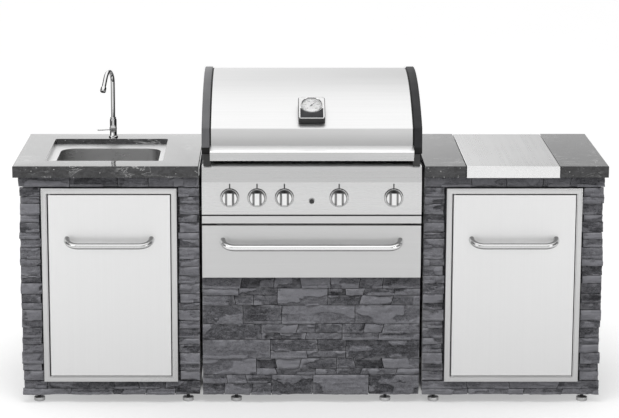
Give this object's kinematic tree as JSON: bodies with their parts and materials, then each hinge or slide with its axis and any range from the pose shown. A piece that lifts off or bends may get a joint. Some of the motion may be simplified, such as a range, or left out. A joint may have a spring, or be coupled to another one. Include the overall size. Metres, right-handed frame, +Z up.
{
  "type": "outdoor kitchen island",
  "caption": "Freestanding outdoor kitchen island: stone-clad cabinets with a sink and tap, a built-in gas grill with a hinged hood, a storage drawer and a lidded side burner.",
  "frame": {"origin": "on the floor, under the middle of the island's bounding box", "axes": "+X along the island to the right as seen from the front, +Y to the back, +Z up"},
  "size_m": [2.253, 0.7185, 1.2337],
  "materials": {
    "steel": "brushed stainless steel",
    "door_frame_steel": "satin stainless steel, a little darker",
    "bar_steel": "polished stainless tube",
    "stone_veneer": "split ledge stone, charcoal grey",
    "granite": "polished dark granite with pale veins",
    "cement_board": "plain grey cement board",
    "frame_paint": "black powder coat",
    "zinc_sheet": "zinc plated sheet steel",
    "cap_casting": "anthracite coated casting",
    "chrome": "bright chrome",
    "black_plastic": "black moulded plastic",
    "cast_iron": "black enamelled cast iron",
    "brass": "plain brass",
    "aluminium": "cast aluminium",
    "dial": "white printed dial",
    "glass": "clear flat glass"
  },
  "bodies": {
    "island": {"back_panels": "zinc_sheet", "cement_boards": "cement_board", "control_panel": "steel", "cooking_grates": "cast_iron", "door_hinge_pins": "zinc_sheet", "firebox": "steel", "flame_tamers": "steel", "gas_manifold": "brass", "hood_hinges": "zinc_sheet", "hood_rests": "frame_paint", "left_countertop": "granite", "left_door_frame": "door_frame_steel", "left_frame": "frame_paint", "left_stone_veneer": "stone_veneer", "levelling_feet": "frame_paint", "liner_panels": "zinc_sheet", "main_burners": "steel", "middle_frame": "frame_paint", "middle_stone_veneer": "stone_veneer", "module_spacers": "frame_paint", "panel_bezels": "chrome", "rear_burner": "steel", "right_countertops": "granite", "right_door_frame": "door_frame_steel", "right_frame": "frame_paint", "right_stone_veneer": "stone_veneer", "side_burner_grate": "cast_iron", "side_burner_head": "aluminium", "side_burner_tray": "steel", "sink_bowl": "steel", "sink_drain": "steel", "slide_rails": "frame_paint", "tap_body": "chrome", "warming_rack": "steel"},
    "hood": {"hood_skin": "steel", "hood_handle": "steel", "hood_left_cap": "cap_casting", "hood_right_cap": "cap_casting", "gauge_housing": "black_plastic", "gauge_dial": "dial", "gauge_glass": "glass", "gauge_bezel": "chrome"},
    "knob_1": {"burner_knob_1": "chrome"},
    "knob_2": {"burner_knob_2": "chrome"},
    "knob_3": {"burner_knob_3": "chrome"},
    "knob_4": {"burner_knob_4": "chrome"},
    "knob_5": {"burner_knob_5": "chrome"},
    "igniter": {"igniter_button": "black_plastic"},
    "tray": {"drip_tray": "steel"},
    "drawer": {"drawer_front": "steel", "drawer_box": "steel", "drawer_handle": "bar_steel"},
    "left_door": {"left_door_panel": "steel", "left_door_handle": "bar_steel"},
    "right_door": {"right_door_panel": "steel", "right_door_handle": "bar_steel"},
    "spout": {"tap_spout": "chrome"},
    "lever": {"tap_lever": "chrome"},
    "side_lid": {"side_burner_lid": "steel"},
    "side_knob": {"side_burner_knob": "black_plastic"}
  },
  "joints": [
    {"name": "hood_hinge", "type": "hinge", "parent": "island", "child": "hood", "pos_m": [0, 0.29725, 0.985], "axis": [-1, 0, 0], "range_deg": [0, 85]},
    {"name": "knob_1_turn", "type": "hinge", "parent": "island", "child": "knob_1", "pos_m": [-0.3105, -0.31075, 0.818], "axis": [0, -1, 0], "range_deg": [0, 225]},
    {"name": "knob_2_turn", "type": "hinge", "parent": "island", "child": "knob_2", "pos_m": [-0.207, -0.31075, 0.818], "axis": [0, -1, 0], "range_deg": [0, 225]},
    {"name": "knob_3_turn", "type": "hinge", "parent": "island", "child": "knob_3", "pos_m": [-0.1035, -0.31075, 0.818], "axis": [0, -1, 0], "range_deg": [0, 225]},
    {"name": "knob_4_turn", "type": "hinge", "parent": "island", "child": "knob_4", "pos_m": [0.1035, -0.31075, 0.818], "axis": [0, -1, 0], "range_deg": [0, 225]},
    {"name": "knob_5_turn", "type": "hinge", "parent": "island", "child": "knob_5", "pos_m": [0.3105, -0.31075, 0.818], "axis": [0, -1, 0], "range_deg": [0, 225]},
    {"name": "igniter_push", "type": "slide", "parent": "island", "child": "igniter", "axis": [0, 1, 0], "range_m": [0, 0.004], "stiffness_N_per_m": 600},
    {"name": "drip_tray_slide", "type": "slide", "parent": "island", "child": "tray", "axis": [0, -1, 0], "range_m": [0, 0.4]},
    {"name": "drawer_slide", "type": "slide", "parent": "island", "child": "drawer", "axis": [0, -1, 0], "range_m": [0, 0.33]},
    {"name": "left_door_hinge", "type": "hinge", "parent": "island", "child": "left_door", "pos_m": [-0.9947, -0.28645, 0.472], "axis": [0, 0, -1], "range_deg": [0, 95]},
    {"name": "right_door_hinge", "type": "hinge", "parent": "island", "child": "right_door", "pos_m": [0.5433, -0.28645, 0.472], "axis": [0, 0, -1], "range_deg": [0, 95]},
    {"name": "spout_swivel", "type": "hinge", "parent": "island", "child": "spout", "pos_m": [-0.789, 0.29125, 1.014], "axis": [0, 0, 1], "range_deg": [-84, 116]},
    {"name": "tap_lever_turn", "type": "hinge", "parent": "island", "child": "lever", "pos_m": [-0.789, 0.26725, 0.976], "axis": [0, 1, 0], "range_deg": [0, 90]},
    {"name": "side_lid_hinge", "type": "hinge", "parent": "island", "child": "side_lid", "pos_m": [0.7605, 0.33925, 0.933], "axis": [-1, 0, 0], "range_deg": [0, 100]},
    {"name": "side_knob_turn", "type": "hinge", "parent": "island", "child": "side_knob", "pos_m": [0.7605, -0.18875, 0.922], "axis": [0, 0, 1], "range_deg": [0, 225]}
  ]
}
